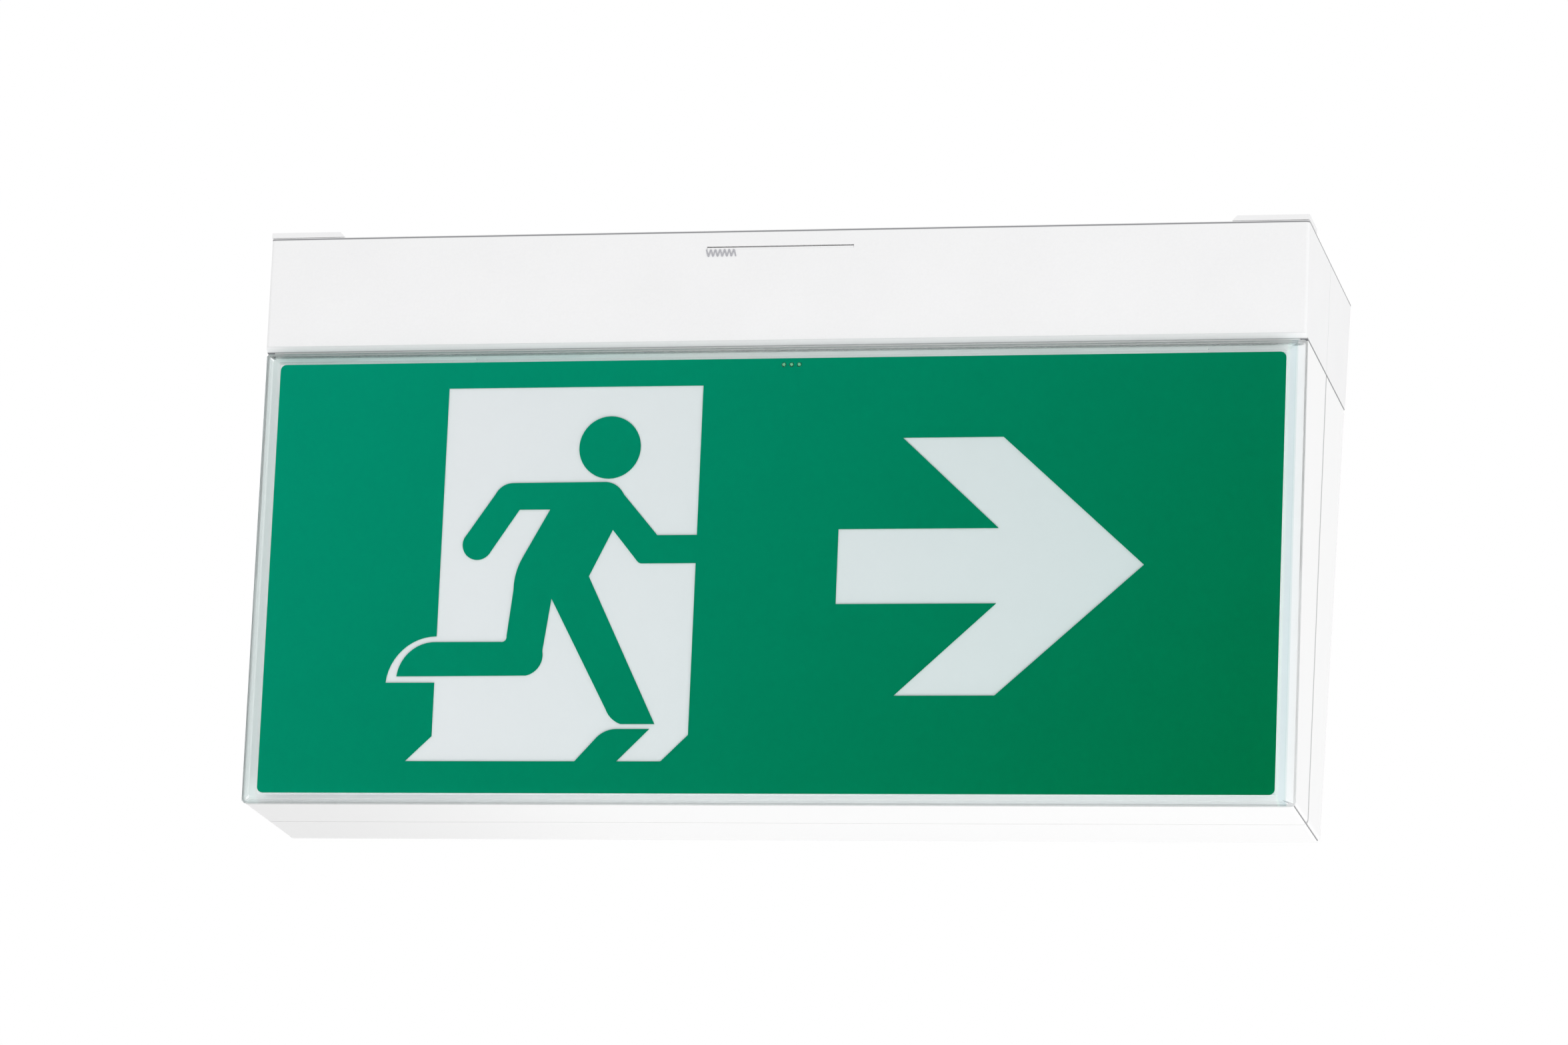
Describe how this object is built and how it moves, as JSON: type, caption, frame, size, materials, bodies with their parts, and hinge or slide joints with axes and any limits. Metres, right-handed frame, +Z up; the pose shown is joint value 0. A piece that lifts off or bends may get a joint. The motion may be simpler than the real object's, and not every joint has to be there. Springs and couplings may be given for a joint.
{
  "type": "emergency exit light",
  "caption": "Ceiling-hung emergency exit light: a wedge-shaped light box with a running-man legend under a white gear hood that swings down from its mounting plate for wiring.",
  "frame": {"origin": "centre of the plate's screw pattern, in the plane of the ceiling that the light hangs from", "axes": "+X along the sign to the reader's right, -Y out of the legend towards the reader, +Z up into the ceiling"},
  "size_m": [0.36, 0.09, 0.1965],
  "materials": {
    "white_moulding": "fine matt moulding",
    "hood_white": "fine matt moulding",
    "grommet_rubber": "matt",
    "spring_steel": "satin",
    "plated_steel": "bright zinc",
    "terminal_moulding": "matt",
    "contact_brass": "bright",
    "tray_paint": "white powder coat",
    "circuit_board": "solder mask",
    "ferrite": "matt",
    "coil_tape": "tape",
    "capacitor_sleeve": "shrink sleeve",
    "chip_black": "matt",
    "socket_nylon": "natural nylon",
    "cell_wrap": "shrink sleeve",
    "lead_sleeve": "satin",
    "lamp_board": "white solder mask",
    "lamp_yellow": "gloss",
    "pipe_clear": "clear",
    "opal_shell": "satin opal",
    "opal_cover": "satin opal",
    "clear_cover": "clear gloss",
    "panel_white": "satin",
    "legend_green": "satin"
  },
  "bodies": {
    "plate": {"mounting_plate": "white_moulding", "cable_grommet": "grommet_rubber", "latch_spring": "spring_steel", "terminal_block": "terminal_moulding", "clamp_screws": "plated_steel", "contact_pads": "contact_brass"},
    "latch": {"release_latch": "white_moulding"},
    "housing": {"hinge_pins": "plated_steel", "hood": "hood_white", "gear_tray": "tray_paint", "tray_screws": "plated_steel", "driver_board": "circuit_board", "board_screws": "plated_steel", "transformer_core": "ferrite", "transformer_coil": "coil_tape", "capacitors": "capacitor_sleeve", "driver_chip": "chip_black", "board_sockets": "socket_nylon", "contact_holder": "terminal_moulding", "contact_fingers": "contact_brass", "battery_cells": "cell_wrap", "battery_cradles": "terminal_moulding", "battery_lead": "lead_sleeve", "battery_plug": "socket_nylon", "lamp_lead": "lead_sleeve", "led_board": "lamp_board", "led_lamps": "lamp_yellow", "status_light_pipe": "pipe_clear", "front_shell": "opal_shell", "rear_shell": "opal_shell", "front_cover": "clear_cover", "rear_cover": "opal_cover", "legend_panel": "panel_white", "rear_reflector": "panel_white", "legend_film": "legend_green"}
  },
  "joints": [
    {"name": "housing_swing", "type": "hinge", "parent": "plate", "child": "housing", "pos_m": [0, 0.042, -0.005], "axis": [1, 0, 0], "range_deg": [0, 85]},
    {"name": "latch_slide", "type": "slide", "parent": "plate", "child": "latch", "axis": [0, 1, 0], "range_m": [0, 0.002], "stiffness_N_per_m": 600, "springref_m": -0.001, "deforming": ["latch_spring"]}
  ]
}
